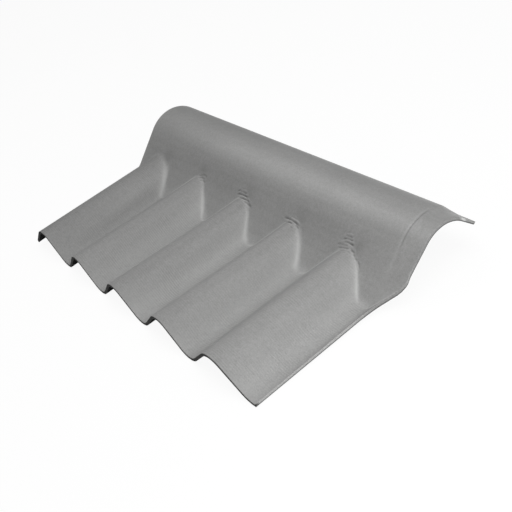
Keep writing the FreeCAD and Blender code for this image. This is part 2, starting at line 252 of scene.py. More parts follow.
# Profile of the waves where they meet the roll, in mm from the even crest and up; one row a wave
RIDGE_LINE = (
    ((-85, 6.5), (-58.5, 24), (-40, 37), (-22, 50), (-8, 58.5), (6, 62), (20, 61), (36, 57), (50, 51),
     (58, 46), (66, 36), (72, 22), (81, 8), (86, 6.5)),
    ((-90, 6.5), (-84, 8), (-33, 38), (-10, 51.6), (0, 57), (10, 60), (20, 58.5), (34, 52), (52, 34),
     (71, 16), (81, 8), (86, 6.5)),
    ((-90, 6.5), (-83, 7.5), (-12, 53.6), (-2, 58.5), (8, 60.5), (17, 58.5), (26, 54), (34, 48),
     (41.5, 40.5), (48.5, 29), (55.5, 18), (63, 10), (73, 6.8), (80, 6.5)),
    ((-88, 6.5), (-80, 7.5), (-14, 55.5), (-5, 60), (3, 61), (13, 59), (23, 54.5), (33, 47.5), (42.5, 38),
     (49.5, 27), (56, 16), (62, 9.5), (71, 6.8), (77, 6.5)),
    ((-92, 6.5), (-84, 8), (-44, 39.8), (-28, 51), (-14, 57.5), (-4, 59.5), (6, 57.5), (19, 51.5),
     (29, 46), (37, 38.5), (45, 29), (52, 20), (60, 13), (71, 8.5), (82, 6.8), (93, 6.5), (98, 7.7),
     (110, 16), (155, 47)),
)

# Spacing of the smoothed profile, its rounding, and how far the rounding reaches
RIDGE_STEP = 1.0 * MM
RIDGE_ROUNDING = 4.0 * MM
ROUNDING_REACH = 3.0 * RIDGE_ROUNDING

# Wrinkles, and last the edge of the lap: crest from 0 on, share of depth, points in mm from crest and eave
WRINKLES = (
    (1, 0.22, ((5, 342.5), (16, 346), (24, 349), (40, 349))),
    (1, 0.35, ((12, 339), (22, 343), (34, 344))),
    (1, 0.35, ((20, 336), (28, 339.5), (39, 339))),
    (2, 0.3, ((-10.5, 356.5), (0.5, 356))),
    (2, 0.5, ((-20, 350), (-12, 352), (4, 351), (15, 351))),
    (2, 0.7, ((-18, 345), (-10, 347), (11, 347), (21, 346.5))),
    (2, 1.0, ((-8, 341.5), (3.5, 340.5), (20.5, 342), (32.5, 341))),
    (2, 0.8, ((14.5, 337), (21.5, 337.5), (42.5, 337))),
    (3, 0.2, ((-8, 349.5), (10, 347.5))),
    (3, 1.0, ((-29, 345.5), (-11, 344.5), (12, 343), (28, 341))),
    (3, 0.6, ((-19, 339), (-8, 338), (8, 338))),
    (3, 0.6, ((15, 339.5), (25, 337.5))),
    (3, 0.3, ((9, 330), (15, 330.5))),
    (4, 0.3, ((-33, 361.5), (-15.5, 364))),
    (4, 0.6, ((-26, 359), (-4.5, 359.5))),
    (4, 0.75, ((-28, 354), (-14, 355.5), (-1, 355))),
    (4, 0.9, ((-23.5, 350), (-14.5, 351), (4, 350.5))),
    (4, 0.45, ((-39, 344), (-25, 345), (-15, 346), (-4.5, 347))),
    (4, 0.5, ((-34.5, 340.5), (-25, 340.5), (-3.5, 343))),
    (4, 0.3, ((-25.5, 337), (-13, 336))),
    (4, 0.4, ((1, 342.5), (13.5, 341.5))),
    (4, 0.2, ((-4.5, 337.5), (4.5, 337.5))),
    (4, 0.3, ((8.5, 338), (16, 338))),
    (4, 0.35, ((18.5, 334), (25, 334.5))),
    (4, 0.3, ((27, 332), (36.5, 330.5))),
    (4, 0.25, ((32, 328), (39, 327))),
    (4, 0.22, ((109.5, 368), (109.5, 462))),
)

# Dark patches on the roll beyond the crests: mm from the even crest, distance from the eave, size and share
DARK_PATCH_PLACES = (46.0, 18.0, 18.0, 18.0, 18.0)
DARK_PATCH_DEPTH = 353.0 * MM
DARK_PATCH_SIZE = 15.0 * MM
DARK_PATCH_SHARE = 0.16

# Flare between wing and tongue: rounding of its ends, bulge, and ragged edge with its limits along the flare
FLARE_BLENDS = (0.8, 0.3)
FLARE_BULGE = 6.0 * MM
BULGE_PLACE = 36.0 * MM
BULGE_SPREAD = 24.0 * MM
RAG_PERIODS = (7.0 * MM, 11.0 * MM)
RAG_DEPTH = 0.8 * MM
RAG_LIMITS = (0.1, 0.5, 1.2, 1.6)

# Section of a wrinkle, with a lip beside its groove, the gain of its depth and the taper of its ends
GROOVE_WIDTH = 1.4 * MM
LIP_PLACE = 3.2 * MM
LIP_SHARE = 0.5
WRINKLE_GAIN = 1.5
WRINKLE_TAPER = 0.18


class CapForm:
    """The two faces of the sheet as heights over the plan; inset 0 is the top face."""

    def __init__(self, sizes):
        self.sizes = sizes
        self.left = CAP_LOW.x
        self.right = CAP_HIGH.x
        self.eave = CAP_LOW.y
        self.free = CAP_HIGH.y
        self.axis_y = self.eave + sizes.axis_depth
        self.axis_z = CAP_HIGH.z - sizes.roll_radius
        self.lap_x = self.right - sizes.lap_length
        self.wing_right = self.right - sizes.tongue
        self.fade_z = sizes.wave_height + sizes.thickness + sizes.fade_margin
        self.turns = self.left + sizes.first_crest + sizes.pitch / 2.0 * np.arange(2 * CREST_COUNT)
        self.crests = self.turns[::2]
        knots = np.concatenate([
            np.array(row) * MM + [crest, 0.0] for row, crest in zip(RIDGE_LINE, self.crests)])
        reach = np.arange(-ROUNDING_REACH, ROUNDING_REACH, RIDGE_STEP)
        weights = np.exp(-0.5 * (reach / RIDGE_ROUNDING) ** 2)
        places = np.arange(knots[0, 0], knots[-1, 0], RIDGE_STEP)
        smoothed = np.convolve(np.interp(places, *knots.T), weights / weights.sum(), mode="valid")
        inner = (len(places) - len(smoothed)) // 2
        self.ridge_x = places[inner:inner + len(smoothed)]
        self.ridge_z = smoothed
        self.ridge_slope = np.gradient(smoothed, RIDGE_STEP)

    def climb(self, y):
        """Share of the way from the eave to the ridge."""
        return np.clip((y - self.eave) / RIDGE_RUN, 0.0, 1.0)

    def even(self, x, drift):
        """Place along the even wave, from the first crest, of a place on the wandering one."""
        turns = self.turns + np.array(drift) * MM
        outside = np.minimum(x - turns[0], 0.0) + np.maximum(x - turns[-1], 0.0)
        return np.interp(x, turns, self.turns) + outside - self.turns[0]

    def cycle(self, steady):
        """Place along one wave: 0 on the crest, -1 and 1 in the valleys beside it."""
        half = self.sizes.pitch / 2.0
        return ((steady + half) % (2.0 * half) - half) / half

    def phase(self, x, y):
        """Place along one wave at each plan point."""
        climb = self.climb(y)
        return self.cycle((1.0 - climb) * self.even(x, EAVE_DRIFT) + climb * self.even(x, RIDGE_DRIFT))

    def eave_wave(self, x, inset):
        """Height of the corrugation at the eave: arcs joined by straight flanks."""
        sizes = self.sizes
        half = sizes.pitch / 2.0
        bend = sizes.bend_radius
        offset = sizes.thickness / 2.0 - inset
        crest_radius, valley_radius = bend + offset, bend - offset
        out = half * (1.0 - np.abs(self.cycle(self.even(x, EAVE_DRIFT))))
        spare = 2.0 * bend - sizes.wave_height
        turn = math.asin(2.0 * bend / math.hypot(half, spare)) - math.atan2(spare, half)
        valley_z = offset + sizes.thickness / 2.0
        crest_z = valley_z + sizes.wave_height
        valley_run = valley_radius * math.sin(turn)
        crest_run = half - crest_radius * math.sin(turn)
        slope = valley_z + valley_radius * (1.0 - math.cos(turn)) + (out - valley_run) * math.tan(turn)
        valley = valley_z + valley_radius - np.sqrt(np.maximum(valley_radius ** 2 - out ** 2, 0.0))
        crest = crest_z - crest_radius + np.sqrt(np.maximum(crest_radius ** 2 - (half - out) ** 2, 0.0))
        return np.where(out < valley_run, valley, np.where(out > crest_run, crest, slope))

    def ridge_wave(self, x, inset):
        """Height of the corrugation where it meets the roll."""
        slope = np.interp(x, self.ridge_x, self.ridge_slope)
        height = np.interp(x, self.ridge_x, self.ridge_z) - inset * np.sqrt(1.0 + slope * slope)
        return np.maximum(height, self.sizes.thickness - inset)

    def wave(self, x, y, inset):
        """Height of the corrugation, turning from the eave's form into the ridge's."""
        climb = self.climb(y)
        return (1.0 - climb) * self.eave_wave(x, inset) + climb * self.ridge_wave(x, inset)

    def lap(self, x, y):
        """Share of the lap's step: a small nick, then a gentle ramp; the line slants on the far flank."""
        sizes = self.sizes
        start = x - self.lap_x + sizes.lap_slant * ease(y - self.axis_y, 0.0, sizes.roll_radius)
        nick = NICK_SHARE * ease(start, 0.0, NICK_RUN)
        return nick + (1.0 - NICK_SHARE) * ease(start, NICK_RUN, sizes.lap_ramp)

    def far(self, lap):
        """Slope of the far flank, gentler on the tongue."""
        return self.sizes.far_flank + lap * (self.sizes.tongue_flank - self.sizes.far_flank)

    def roll(self, x, y, inset):
        """Height of the roll: near flank, arc and far flank, stepped down at the lap."""
        sizes = self.sizes
        run = y - self.axis_y
        near = sizes.near_flank
        lap = self.lap(x, y)
        far = self.far(lap)
        radius = sizes.roll_radius - inset
        lapped = radius - sizes.lap_step * lap
        reach = (sizes.roll_radius + (self.axis_z - self.fade_z) * math.cos(near)) / math.sin(near)
        pivot_y = inset * math.sin(near) - reach
        pivot_z = self.fade_z - inset * math.cos(near) - self.axis_z
        slope = np.arctan2(-pivot_z, -pivot_y) + np.arcsin(lapped / math.hypot(pivot_y, pivot_z))
        plain = self.axis_z + (radius + math.sin(near) * run) / math.cos(near)
        flank = self.axis_z + (lapped + np.sin(slope) * run) / np.cos(slope)
        arc = self.axis_z + np.sqrt(np.maximum(lapped ** 2 - run ** 2, 0.0))
        rim = self.axis_z + (lapped - np.sin(far) * run) / np.cos(far)
        height = np.where(run < -lapped * np.sin(slope), flank, arc)
        height = np.where(run > lapped * np.sin(far), rim, height)
        return np.where(run < pivot_y, plain, height)

    def crease(self, x):
        """Plan line where the waves meet the flank."""
        near = self.sizes.near_flank
        rise = (self.ridge_wave(x, 0.0) - self.axis_z) * math.cos(near)
        return self.axis_y + (rise - self.sizes.roll_radius) / math.sin(near)

    def height(self, x, y, inset):
        """Height of a face where the waves and the roll are blended."""
        blend = np.interp(self.phase(x, y), FOLD_PLACES, FOLD_BLENDS) * self.softness(x) * MM
        return smooth_max(self.wave(x, y, inset), self.roll(x, y, inset), blend)

    def softness(self, x):
        """Share of rounding and rubbing of the folds, wave by wave."""
        return np.interp(x, self.crests, WAVE_SOFTNESS)

    def eave_line(self, x):
        """Plan line of the eave, a little uneven."""
        return self.eave + np.interp((x - self.left) / MM, EAVE_PLACES, EAVE_SETBACKS) * MM

    def wrinkles(self, x, y):
        """Share of groove, above 0, or of lip, below 0, at each plan point."""
        relief = np.zeros(x.shape)
        for crest, depth, marks in WRINKLES:
            path = np.array(marks) * MM + [self.crests[crest], self.eave]
            runs = np.hypot(*np.diff(path, axis=0).T)
            walked = np.concatenate([[0.0], np.cumsum(runs)])
            nearest = np.full(x.shape, np.inf)
            along = np.zeros(x.shape)
            for start, end, run, before in zip(path[:-1], path[1:], runs, walked):
                way = (end - start) / run
                part = np.clip((x - start[0]) * way[0] + (y - start[1]) * way[1], 0.0, run)
                gap = np.hypot(x - start[0] - part * way[0], y - start[1] - part * way[1])
                along = np.where(gap < nearest, before + part, along)
                nearest = np.minimum(nearest, gap)
            fade = WRINKLE_TAPER * walked[-1]
            taper = ease(along, 0.0, fade) * ease(walked[-1] - along, 0.0, fade)
            groove = np.exp(-(nearest / GROOVE_WIDTH) ** 2)
            lip = np.exp(-((nearest - LIP_PLACE) / GROOVE_WIDTH) ** 2)
            relief += min(1.0, WRINKLE_GAIN * depth) * taper * (groove - LIP_SHARE * lip)
        return relief

    def dark_patches(self, x, y):
        """Dark patches on the roll just beyond the crests."""
        shade = np.zeros(x.shape)
        for crest, place in zip(self.crests, DARK_PATCH_PLACES):
            gap = np.hypot(x - crest - place * MM, y - self.eave - DARK_PATCH_DEPTH)
            shade += DARK_PATCH_SHARE * np.exp(-(gap / DARK_PATCH_SIZE) ** 2)
        return shade * (self.fold(x, y) > 0.0)

    def painted_light(self, x, y):
        """Painted light and shade in bands along the waves and the roll, with painted shade on the foot and
        ramp of the lap.
        """
        # Painted shade on the crests and painted highlight low on the right flanks, darkest on the first
        # wave
        waves = np.interp(self.phase(x, y), WAVE_LIGHT_PLACES, WAVE_LIGHT_SHARES)
        waves *= np.interp(x, self.crests, WAVE_LIGHT_GAINS)
        waves += np.interp(x, self.crests, WAVE_SHADE_TONES)
        across = (y - self.axis_y) / MM
        past_lap = (x - self.lap_x) / MM
        up = (y - self.eave) / MM
        # Painted highlight along the crown, painted shade on the roll's flanks, and painted light on its toe
        crown = np.interp(across, CROWN_PLACES, CROWN_SHEEN_SHARES)
        crown *= np.interp((x - self.left) / MM, ALONG_PLACES, ALONG_SHARES)
        crown += np.interp(across, TOE_PLACES, TOE_LIGHT_SHARES)
        # Painted shade on the foot and ramp of the lap, where the ramp turns to the right lamp
        crown -= FOOT_SHADE * ease(past_lap, *FOOT_ALONG) * window(up, FOOT_UP)
        crown -= RAMP_SHADE * window(past_lap, RAMP_ALONG) * window(up, RAMP_UP)
        pressed = ease(self.fold(x, y) / MM, *TONE_EDGE)
        return waves * (1.0 - pressed) + crown * pressed

    def fold(self, x, y):
        """Distance from the fold, below 0 on the wave side and above 0 on the roll side."""
        slant = (self.crease(x + RIDGE_STEP) - self.crease(x - RIDGE_STEP)) / (2.0 * RIDGE_STEP)
        return (y - self.crease(x)) / np.sqrt(1.0 + slant * slant)

    def rubbing_and_glint(self, x, y):
        """Paleness along the folds: rubbed lines on left flanks and a painted highlight with a painted halo
        round it on right flanks, plus the painted highlight along the lap.
        """
        phase = np.minimum(self.phase(x, y) + np.interp(x, self.crests, RUB_EARLY), 1.0)
        gap = self.fold(x, y) + np.interp(phase, RUB_PLACES, RUB_SHIFTS) * MM
        line = np.exp(-(gap / np.where(phase > 0.0, GLINT_RIGHT * self.softness(x), RUB_LEFT)) ** 2)
        line *= np.interp(phase, RUB_PLACES, RUB_SHARES) * np.interp(x, self.crests, WAVE_RUB_AND_GLINT)
        reach = np.where(gap < 0.0, np.interp(x, self.crests, HALO_REACH) * MM, RUB_HALO)
        halo = np.exp(-(gap / reach) ** 2)
        halo *= np.where(gap < 0.0, window(phase, WAVE_HALO), window(phase, ROLL_HALO))
        return line + HALO_SHARE * halo * (1.0 - line) + self.lap_highlight(x, y)

    def lap_highlight(self, x, y):
        """Painted highlight along the edge of the lap, wider and fading at its foot."""
        up = (y - self.eave) / MM
        width = np.interp(up, LAP_WIDTH_PLACES, LAP_HIGHLIGHT_WIDTHS)
        paleness = np.interp(up, LAP_LINE_PLACES, LAP_LINE_SHARES)
        return paleness * np.exp(-(((x - self.lap_x) / MM + LAP_LINE_SHIFT) / width) ** 2)

    def right_end(self, y):
        """Plan line of the right end: wing, slanted ragged flare and tongue."""
        start = self.axis_y - self.sizes.root_setback
        along = smooth_max((y - start) / self.sizes.flare_run, 0.0, FLARE_BLENDS[0])
        flare = self.wing_right - self.sizes.tongue * smooth_max(-along, -1.0, FLARE_BLENDS[1])
        flare += FLARE_BULGE * np.exp(-((y - start - BULGE_PLACE) / BULGE_SPREAD) ** 2)
        flare = np.minimum(flare, self.right)
        rag = np.sin(FULL_TURN * y / RAG_PERIODS[0]) * np.sin(FULL_TURN * y / RAG_PERIODS[1]) - 1.0
        return flare + RAG_DEPTH * rag * window(along, RAG_LIMITS)

    def free_end(self, x, inset):
        """Plan line of the free edge, square to the far flank."""
        sizes = self.sizes
        lap = self.lap(x, self.free)
        far = self.far(lap)
        rim = sizes.rim + lap * (sizes.tongue_rim - sizes.rim)
        radius = sizes.roll_radius - inset - sizes.lap_step * lap
        return self.axis_y + radius * np.sin(far) + rim * np.cos(far)


# Mesh of the sheet

# Rows up the wing, across the fold and over the roll; columns along the wing and in the zone at its end
WING_ROWS, CREASE_ROWS, ROLL_ROWS = 30, 54, 42
PLAIN_COLUMNS, END_COLUMNS = 296, 36

# Half the width of the rows across the fold, and the length of the zone at the right end
CREASE_MARGIN = 27.0 * MM
END_ZONE = 15.0 * MM


class SheetGrid:
    """Plan grid of one face whose rows follow the crease and whose last columns follow the right end."""

    def __init__(self, form, inset):
        self.form = form
        self.inset = inset
        trim = form.sizes.edge_round
        wide = np.linspace(form.left + 2.0 * trim, form.wing_right - END_ZONE, PLAIN_COLUMNS)
        self.columns = np.concatenate([[form.left + trim], wide])
        self.close = np.linspace(0.0, 1.0, END_COLUMNS + 1)[1:]

    def plan(self, out):
        """Plan positions of every row and column, with the outer ones moved out by a distance."""
        form = self.form
        trim = form.sizes.edge_round
        plain = self.columns.copy()
        plain[0] -= out
        close_x = plain[-1] + self.close * (form.wing_right - plain[-1])
        guide = np.concatenate([plain, close_x])
        fold = form.crease(np.minimum(guide, form.wing_right))
        eave = form.eave_line(guide) + trim - out
        low = fold - CREASE_MARGIN
        high = fold + CREASE_MARGIN
        free = form.free_end(guide, self.inset) - trim + out
        wing = np.linspace(0.0, 1.0, WING_ROWS + 1)[:, None]
        band = np.linspace(0.0, 1.0, CREASE_ROWS + 1)[1:, None]
        crown = np.linspace(0.0, 1.0, ROLL_ROWS + 1)[1:, None]
        y = np.concatenate([
            eave + wing * (low - eave),
            low + band * (high - low),
            high + crown * (free - high),
        ])
        y = np.insert(y, 1, eave + out + trim, axis=0)
        y = np.insert(y, len(y) - 1, free - out - trim, axis=0)
        x = np.tile(guide, (len(y), 1))
        start = plain[-1]
        reach = form.right_end(y[:, len(plain):]) - trim + np.where(self.close == 1.0, out, 0.0)
        x[:, len(plain):] = start + self.close * (reach - start)
        return x, y


def rim_walk(rows, columns):
    """Row and column numbers of a grid's outer ring, walked once round."""
    walk = [(0, column) for column in range(columns)]
    walk += [(row, columns - 1) for row in range(1, rows)]
    walk += [(rows - 1, column) for column in range(columns - 2, -1, -1)]
    walk += [(row, 0) for row in range(rows - 2, 0, -1)]
    return np.array(walk)


def quad_faces(numbers, flip):
    """Quads of a grid of vertex numbers."""
    corners = [numbers[:-1, :-1], numbers[:-1, 1:], numbers[1:, 1:], numbers[1:, :-1]]
    faces = np.stack([corner.ravel() for corner in corners], axis=1)
    return faces[:, ::-1] if flip else faces


def band_faces(first, second):
    """Quads between two closed rings of vertex numbers."""
    return np.stack([first, second, np.roll(second, -1), np.roll(first, -1)], axis=1)


# Rings round the edge: share of thickness, step out, rounding side, shares of painted edge shade and of
# painted shadow at the low rim
RINGS = (
    (0.0, 0.7, -1.0, 0.6, 0.0),
    (0.0, 1.0, -1.0, 1.0, 0.0),
    (0.55, 1.0, 0.0, 1.0, 0.0),
    (0.75, 1.0, 0.0, 1.0, 0.8),
    (1.0, 1.0, 1.0, 1.0, 1.0),
    (1.0, 0.7, 1.0, 1.0, 1.0),
)

# Painted highlight and darkness along the right end, in mm from the eave, with a pale chip near the free
# edge
END_PLACES = (0.0, 230.0, 290.0, 325.0, 345.0, 365.0, 485.0, 489.0, 494.0, 498.0)
END_HIGHLIGHT_SHARES = (0.35, 0.35, 0.05, 0.1, 0.2, 0.0, 0.0, 1.0, 1.0, 0.2)
END_DARK_SHARES = (0.0, 0.0, 0.1, 0.12, 0.1, 0.1, 0.1, 0.0, 0.0, 0.15)

# Share of painted edge shade on the free edge, and the painted shadow on the underside inside the eave
FREE_EDGE_SHARE = 0.4
PAINTED_SHADOW_DEPTH = 120.0 * MM
PAINTED_SHADOW_FADE = 50.0 * MM


def sheet_mesh(form):
    """Vertices, faces and per-vertex masks of the closed sheet."""
    trim = form.sizes.edge_round
    thickness = form.sizes.thickness
    top, bottom = SheetGrid(form, 0.0), SheetGrid(form, thickness)
    top_x, top_y = top.plan(0.0)
    bottom_x, bottom_y = bottom.plan(0.0)
    rows, columns = top_x.shape
    walk = rim_walk(rows, columns)
    groove = form.wrinkles(top_x, top_y)
    top_z = np.minimum(form.height(top_x, top_y, 0.0) - form.sizes.wrinkle_depth * groove, CAP_HIGH.z)
    points = [np.stack([top_x, top_y, top_z], axis=-1).reshape(-1, 3)]
    count = rows * columns
    plain = np.zeros(count)
    masks = {
        # Painted shade in the wrinkle grooves, painted highlight on their lips, and dark patches beyond the
        # crests
        "groove": [(groove + form.dark_patches(top_x, top_y)).ravel()],
        # Rubbed pale lines on left folds, and painted highlight and halo on right folds and along the lap
        "rubbing_and_glint": [form.rubbing_and_glint(top_x, top_y).ravel()],
        # Painted light and shade on the waves and the roll
        "painted_light": [form.painted_light(top_x, top_y).ravel()],
        "pressed": [ease(form.fold(top_x, top_y) / MM, *FINISH_EDGE).ravel()],
        "edge": [plain],
        "end_highlight": [plain],
        "under": [plain],
        "painted_shadow": [plain],
    }
    right_end_ring = (walk[:, 1] == columns - 1) & (walk[:, 0] > 1)
    darkness = np.where(walk[:, 0] == rows - 1, FREE_EDGE_SHARE, 1.0)
    rings = [walk[:, 0] * columns + walk[:, 1]]
    blank = np.zeros(len(walk))
    for depth, step, side, edge, low in RINGS:
        inset = depth * thickness
        x, y = SheetGrid(form, inset).plan(step * trim)
        ring_x, ring_y = x[walk[:, 0], walk[:, 1]], y[walk[:, 0], walk[:, 1]]
        drop = side * trim * (1.0 - math.sqrt(1.0 - step * step))
        points.append(np.stack([ring_x, ring_y, form.height(ring_x, ring_y, inset) + drop], axis=-1))
        from_eave = (ring_y - form.eave) / MM
        # Darkness of the right end: painted shadow at the low rim, and darker along parts of the end
        end_dark = np.maximum(low, edge * np.interp(from_eave, END_PLACES, END_DARK_SHARES))
        # Edge masks: painted shade on the cut edges and painted shadow low on the right end
        ring_masks = {
            "edge": np.where(right_end_ring, end_dark, edge * darkness),
            "under": np.where(right_end_ring, 0.0, edge * darkness),
            # Painted highlight on the right end where it faces the lamps
            "end_highlight": edge * right_end_ring * np.interp(from_eave, END_PLACES, END_HIGHLIGHT_SHARES),
        }
        for name in masks:
            masks[name].append(ring_masks.get(name, blank))
        rings.append(count + np.arange(len(walk)))
        count += len(walk)
    bottom_z = form.height(bottom_x, bottom_y, thickness)
    points.append(np.stack([bottom_x, bottom_y, bottom_z], axis=-1).reshape(-1, 3))
    bottom_masks = {
        # Painted shadow on the underside inside the eave, fading inwards
        "painted_shadow": ease(form.eave + PAINTED_SHADOW_DEPTH - bottom_y, 0.0, PAINTED_SHADOW_FADE).ravel(),
        "under": plain + 1.0,
    }
    for name in masks:
        masks[name].append(bottom_masks.get(name, plain))
    rings.append(count + walk[:, 0] * columns + walk[:, 1])
    grid_numbers = np.arange(rows * columns).reshape(rows, columns)
    faces = [quad_faces(grid_numbers, False), quad_faces(count + grid_numbers, True)]
    faces += [band_faces(first, second) for first, second in zip(rings[:-1], rings[1:])]
    return np.concatenate(points), np.concatenate(faces), {
        name: np.concatenate(parts) for name, parts in masks.items()}


def build_sheet(sizes):
    """The sheet as one Blender object."""
    points, faces, masks = sheet_mesh(CapForm(sizes))
    mesh = bpy.data.meshes.new("ridge_cap_sheet")
    mesh.from_pydata(points.tolist(), [], faces.tolist())
    mesh.polygons.foreach_set("use_smooth", np.ones(len(mesh.polygons), dtype=bool))
    for name, values in masks.items():
        mesh.attributes.new(name, "FLOAT", "POINT").data.foreach_set("value", values)
    mesh.update()
    piece = bpy.data.objects.new("ridge_cap_sheet", mesh)
    bpy.context.scene.collection.objects.link(piece)
    return piece


# Materials

class Shade:
    """One output of a node tree, with arithmetic that adds Math nodes."""

    def __init__(self, tree, output=None):
        self.tree = tree
        self.output = output

    def node(self, kind, settings=None, inputs=None, output=0):
        """Add a node: settings first, then the values or links of its sockets."""
        made = self.tree.nodes.new(kind)
        for name, value in (settings or {}).items():
            setattr(made, name, value)
        for key, value in (inputs or {}).items():
            if isinstance(value, Shade):
                self.tree.links.new(value.output, made.inputs[key])
            else:
                made.inputs[key].default_value = value
        return Shade(self.tree, made.outputs[output] if made.outputs else None)

    def math(self, operation, first, second):
        """Add a Math node for two values."""
        return self.node("ShaderNodeMath", {"operation": operation}, {0: first, 1: second})

    def __add__(self, other):
        return self.math("ADD", self, other)

    def __radd__(self, other):
        return self.math("ADD", other, self)

    def __sub__(self, other):
        return self.math("SUBTRACT", self, other)

    def __rsub__(self, other):
        return self.math("SUBTRACT", other, self)

    def __mul__(self, other):
        return self.math("MULTIPLY", self, other)

    def __rmul__(self, other):
        return self.math("MULTIPLY", other, self)


# Sockets of the mix node that take and give colours
MIX_FIRST, MIX_SECOND, MIX_RESULT = 6, 7, 2


def rgba(value):
    """A colour with full cover."""
    return (value[0], value[1], value[2], 1.0)


def tint(factor, first, second):
    """Mix two colours by a factor."""
    ends = [rgba(value) if not isinstance(value, Shade) else value for value in (first, second)]
    return factor.node(
        "ShaderNodeMix", {"data_type": "RGBA"},
        {"Factor": factor, MIX_FIRST: ends[0], MIX_SECOND: ends[1]}, output=MIX_RESULT)


# Noises of the cement: scale, detail and stretch along the axes
EVEN = (1.0, 1.0, 1.0)
NOISES = {
    "mottle": (8.0, 4.0, EVEN),
    "patch": (22.0, 2.0, EVEN),
    "dapple": (150.0, 2.0, EVEN),
    "grain": (420.0, 2.0, EVEN),
    "streak": (1.0, 3.0, (3.0, 90.0, 90.0)),
    "wobble": (12.0, 2.0, EVEN),
}
NOISE_MIDDLE = 0.5

# Tone from the darker grey to the lighter: its middle, and the share of each thing that changes it, among
# them painted light and the painted shade of the grooves
MIDDLE_TONE, PAINTED_LIGHT_TONE, GROOVE_SHADE_TONE = 0.5, 0.25, 0.5
MOTTLE_TONE, DAPPLE_TONE, GRAIN_TONE = 0.22, 0.35, 0.55
STREAK_TONE, RIB_TONE = 0.2, 0.09

# Shares of the painted groove shade and of the pale colour of rubbing and painted highlights, where their
# masks are full
GROOVE_SHADE_TINT, RUB_AND_GLINT_TINT = 0.6, 0.4

# Felt ribs: how far they waver, their middle share, and how much it changes from patch to patch
RIB_WAVER, RIB_SHARE, RIB_PATCHES = 8.0, 0.4, 2.0

# Fine relief in mm, the roughness of the dapple, and the roughness and shine of the underside
GRAIN_RELIEF, DAPPLE_RELIEF, RIB_RELIEF = 0.12, 0.25, 0.18
DAPPLE_ROUGHNESS = 0.1
UNDER_ROUGHNESS, UNDER_SPECULAR = 0.9, 0.1


def noise(place, scale, detail, stretch):
    """Noise about 0, longer along the axes with a small stretch."""
    spread = place.node("ShaderNodeVectorMath", {"operation": "MULTIPLY"}, {0: place, 1: stretch})
    made = place.node("ShaderNodeTexNoise", inputs={"Vector": spread, "Scale": scale, "Detail": detail})
    return made - NOISE_MIDDLE


def cement_material(finish):
    """Matt fibre cement: felt ribs on the wing, trowelled roll and rubbed folds, with painted highlights on
    the right folds, crown and right end, painted shade on the crests, wrinkle grooves and cut edges, and a
    painted shadow inside the eave.
    """
    material = bpy.data.materials.new("fibre_cement")
    material.use_nodes = True
    tree = material.node_tree
    tree.nodes.clear()
    start = Shade(tree)
    place = start.node("ShaderNodeTexCoord", output="Object")
    mask = {
        name: start.node("ShaderNodeAttribute", {"attribute_name": name}, output="Fac")
        for name in ("groove", "rubbing_and_glint", "painted_light", "pressed", "edge", "end_highlight", "under", "painted_shadow")}
    across = start.node("ShaderNodeSeparateXYZ", inputs={"Vector": place}, output="Y")
    speck = {name: noise(place, *values) for name, values in NOISES.items()}
    turn = across * (FULL_TURN / finish.rib_period) + RIB_WAVER * speck["wobble"]
    wing = 1.0 - mask["pressed"]
    ribs = start.node("ShaderNodeMath", {"operation": "SINE"}, {0: turn})
    ribs = ribs * wing * (RIB_SHARE + RIB_PATCHES * speck["patch"])
    # The tone carries the painted light and shade of the sheet, and random mottle, dapple, grain, streaks
    # and felt ribs
    shade = MIDDLE_TONE + PAINTED_LIGHT_TONE * mask["painted_light"] + MOTTLE_TONE * speck["mottle"]
    shade = shade + DAPPLE_TONE * speck["dapple"] + GRAIN_TONE * speck["grain"]
    shade = shade + STREAK_TONE * speck["streak"] * mask["pressed"] + RIB_TONE * ribs
    # Painted shade darkens the wrinkle grooves and painted highlight lightens their lips
    body = tint(shade - GROOVE_SHADE_TONE * mask["groove"], finish.dark, finish.cement)
    groove_shaded = tint(GROOVE_SHADE_TINT * mask["groove"], body, finish.groove)
    # Pale colour for rubbed lines and for painted highlights on the right folds and the lap
    folds = tint(RUB_AND_GLINT_TINT * mask["rubbing_and_glint"], groove_shaded, finish.pale)
    # Painted highlight on the right end, in the pale colour
    ended = tint(mask["end_highlight"], folds, finish.pale)
    # Cut edges take a dark colour as painted shade
    base = tint(mask["edge"], ended, finish.cut)
    felt = tint(shade, finish.dark, finish.under)
    # The underside takes painted edge shade and a painted shadow inside the eave
    felted = tint(mask["painted_shadow"], tint(mask["edge"], felt, finish.cut), finish.painted_shadow)
    gloss = finish.felt_roughness + (finish.pressed_roughness - finish.felt_roughness) * mask["pressed"]
    gloss = gloss + DAPPLE_ROUGHNESS * speck["dapple"]
    relief = GRAIN_RELIEF * speck["grain"] + DAPPLE_RELIEF * speck["dapple"] + RIB_RELIEF * ribs
    bump = start.node(
        "ShaderNodeBump", inputs={"Strength": 1.0, "Distance": MM, "Height": relief}, output="Normal")
    surface = start.node(
        "ShaderNodeBsdfPrincipled", inputs={"Base Color": base, "Roughness": gloss, "Normal": bump})
    underside = start.node(
        "ShaderNodeBsdfPrincipled",
        inputs={"Base Color": felted, "Roughness": UNDER_ROUGHNESS, "Specular IOR Level": UNDER_SPECULAR})
    both = start.node("ShaderNodeMixShader", inputs={0: mask["under"], 1: surface, 2: underside})
    start.node("ShaderNodeOutputMaterial", inputs={"Surface": both})
    return material


